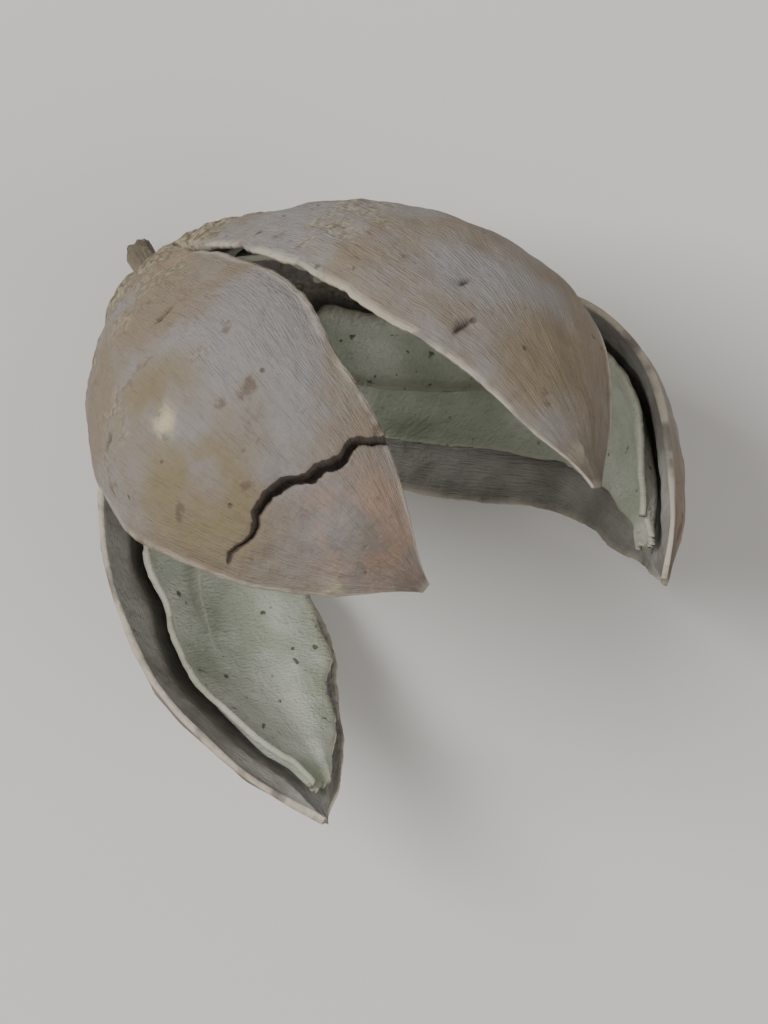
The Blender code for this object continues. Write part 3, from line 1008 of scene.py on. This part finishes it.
def crack_shade_share(f):
    """1 in the cracks and nicks, where painted shade darkens them; the cracks have a ragged edge.
    """
    ragged = f.sum("MULTIPLY", f.noise(1200.0, 3.0), 0.4)
    near_crack = f.sum("ADD", f.mark("crack"), ragged)
    return f.sum("MAXIMUM", f.ramp(near_crack, 0.86, 1.14), f.mark("nick"))


def husk_bumps(f, pits, grit, crusted):
    """The height of the finest bumps, with fibres along the grain."""
    lengthwise = f.noise(5.0, 6.0, f.stretched((5.0, 0.8, 1.0)))
    height = f.sum("ADD", f.noise(1500.0, 7.0), f.sum("MULTIPLY", lengthwise, 0.6))
    height = f.sum("SUBTRACT", height, f.sum("MULTIPLY", pits, 0.8))
    return f.sum("SUBTRACT", height, f.sum("MULTIPLY", grit, crusted))


def husk_finish():
    """Weathered skin, a pale granular crust, a bare inner side, painted highlights on the rims and
    painted shade in the cracks and between the crust's grains.
    """
    f = Finish("dry_husk_skin")
    pits = pitted_share(f)
    crusted = crusted_share(f)
    grit = crust_grit(f)
    skin = f.lay(weathered_skin(f), pits, 0.7, shade(74, 56, 42))
    # The crust: its own colours, with painted shade in the gaps between its grains and a painted
    # highlight on them.
    skin = f.lay(skin, crusted, 0.85, crust_colour(f, grit))
    skin = f.lay(skin, f.patchy("scab", 850.0, 6.0, 0.36, 0.56), 0.85, shade(182, 172, 138))
    clouds = f.ramp(f.noise(240.0, 5.0), 0.35, 0.65)
    bare = f.mix(clouds, shade(120, 115, 108), shade(151, 148, 142))
    skin = f.mix(f.ramp(f.mark("inner"), 0.35, 0.8), skin, bare)
    # Painted highlight: a pale line laid along the valves' rims and at their tips.
    skin = f.lay(skin, f.patchy("rim", 500.0, 3.0, 0.30, 0.55), 0.72, shade(192, 182, 164))
    # Painted shade: dark brown laid in the cracks, on their lips and in the nicks.
    skin = f.lay(skin, crack_shade_share(f), 0.88, shade(46, 34, 26))
    roughness = f.sum("MULTIPLY_ADD", f.noise(320.0, 3.0), 0.22, 0.68)
    return f.finish(skin, roughness, husk_bumps(f, pits, grit, crusted), 0.00022)


def lining_finish():
    """A pale grey-green papery skin, speckled, with browner torn edges."""
    f = Finish("papery_lining")
    clouds = f.ramp(f.noise(210.0, 5.0), 0.38, 0.62)
    base = f.mix(clouds, shade(184, 186, 174), shade(158, 164, 146))
    streaks = f.ramp(f.noise(4.0, 6.0, f.stretched((3.0, 1.4, 1.0))), 0.52, 0.72)
    base = f.lay(base, streaks, 0.30, shade(128, 124, 104))
    specks = f.ramp(f.noise(1100.0, 3.0), 0.66, 0.72)
    base = f.lay(base, specks, 0.8, shade(62, 50, 38))
    base = f.lay(base, f.mark("rim"), 0.4, shade(158, 150, 130))
    base = f.lay(base, f.mark("crust"), 0.35, shade(126, 112, 84))
    lengthwise = f.noise(5.0, 5.0, f.stretched((1.6, 4.0, 1.0)))
    height = f.sum("ADD", f.noise(1300.0, 6.0), lengthwise)
    roughness = f.sum("MULTIPLY_ADD", f.noise(300.0, 3.0), 0.2, 0.62)
    return f.finish(base, roughness, height, 0.00012)


def column_finish():
    """Dry fibrous wood with dark streaks."""
    f = Finish("fibrous_column")
    clouds = f.ramp(f.noise(300.0, 5.0), 0.35, 0.65)
    base = f.mix(clouds, shade(104, 88, 68), shade(146, 132, 106))
    streaks = f.ramp(f.noise(2200.0, 4.0), 0.50, 0.68)
    base = f.lay(base, streaks, 0.5, shade(66, 52, 38))
    roughness = f.sum("MULTIPLY_ADD", f.noise(700.0, 3.0), 0.2, 0.7)
    return f.finish(base, roughness, f.noise(2400.0, 6.0), 0.00015)


def put_in_place(obj, node, material):
    """Gives a piece its material, hides the solid that it stands for, and attaches it to the root
    body.
    """
    obj.data.materials.append(material)
    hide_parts(node)
    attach(obj, "root")


def build_pod():
    """Every piece of the pod, laid down and dressed."""
    matrix = lying_matrix()
    put_in_place(build_husk(matrix), "husk", husk_finish())
    papery = lining_finish()
    for valve in VALVES:
        lining = build_lining(valve, matrix)
        put_in_place(lining, f"lining_{valve['name']}", papery)
    put_in_place(build_column(matrix), "column", column_finish())


def build_floor():
    """A plain pale floor."""
    mesh = bpy.data.meshes.new("floor")
    half = FLOOR_HALF
    corners = [(-half, -half, 0), (half, -half, 0), (half, half, 0), (-half, half, 0)]
    mesh.from_pydata(corners, [], [(0, 1, 2, 3)])
    floor = bpy.data.objects.new("floor", mesh)
    bpy.context.scene.collection.objects.link(floor)
    material = bpy.data.materials.new("pale_floor")
    material.use_nodes = True
    shader = material.node_tree.nodes["Principled BSDF"]
    shader.inputs["Base Color"].default_value = FLOOR_COLOUR
    shader.inputs["Roughness"].default_value = 0.9
    mesh.materials.append(material)
    floor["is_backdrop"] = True


def picture_axes():
    """The directions on the ground that are right and up in the picture."""
    turn = math.radians(PICTURE_TURN)
    right = Vector((math.cos(turn), math.sin(turn), 0))
    up = Vector((-math.sin(turn), math.cos(turn), 0))
    return right, up


def add_light(name, place, size, power):
    """A square light that points at the pod."""
    data = bpy.data.lights.new(name, "AREA")
    data.size = size
    data.energy = power
    light = bpy.data.objects.new(name, data)
    light.location = place
    light.rotation_euler = (Vector(LIT_POINT) - place).to_track_quat("-Z", "Y").to_euler()
    bpy.context.scene.collection.objects.link(light)


def light_the_pod():
    """A large soft light from the picture's left, a weak one opposite, and a pale sky."""
    right, up = picture_axes()
    for name, rightwards, upwards, height, size, power in LIGHTS:
        away = (right * rightwards + up * upwards) * LIGHTS_OUT
        add_light(name, away + Vector((0, 0, height)), size, power)
    world = bpy.data.worlds.new("studio")
    bpy.context.scene.world = world
    world.use_nodes = True
    background = world.node_tree.nodes["Background"]
    background.inputs["Color"].default_value = SKY_COLOUR
    background.inputs["Strength"].default_value = SKY_STRENGTH


def add_camera():
    """A camera that looks straight down, as the photograph does."""
    low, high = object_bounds()
    middle = (low + high) / 2
    data = bpy.data.cameras.new("camera")
    data.lens = LENS
    data.clip_start = 0.005
    camera = bpy.data.objects.new("camera", data)
    right, up = picture_axes()
    shift = right * CAMERA_RIGHT - up * CAMERA_DOWN
    camera.location = (middle.x + shift.x, middle.y + shift.y, CAMERA_HEIGHT)
    camera.rotation_euler = (0, 0, math.radians(PICTURE_TURN))
    bpy.context.scene.collection.objects.link(camera)
    bpy.context.scene.camera = camera


build_pod()
build_floor()
light_the_pod()
add_camera()
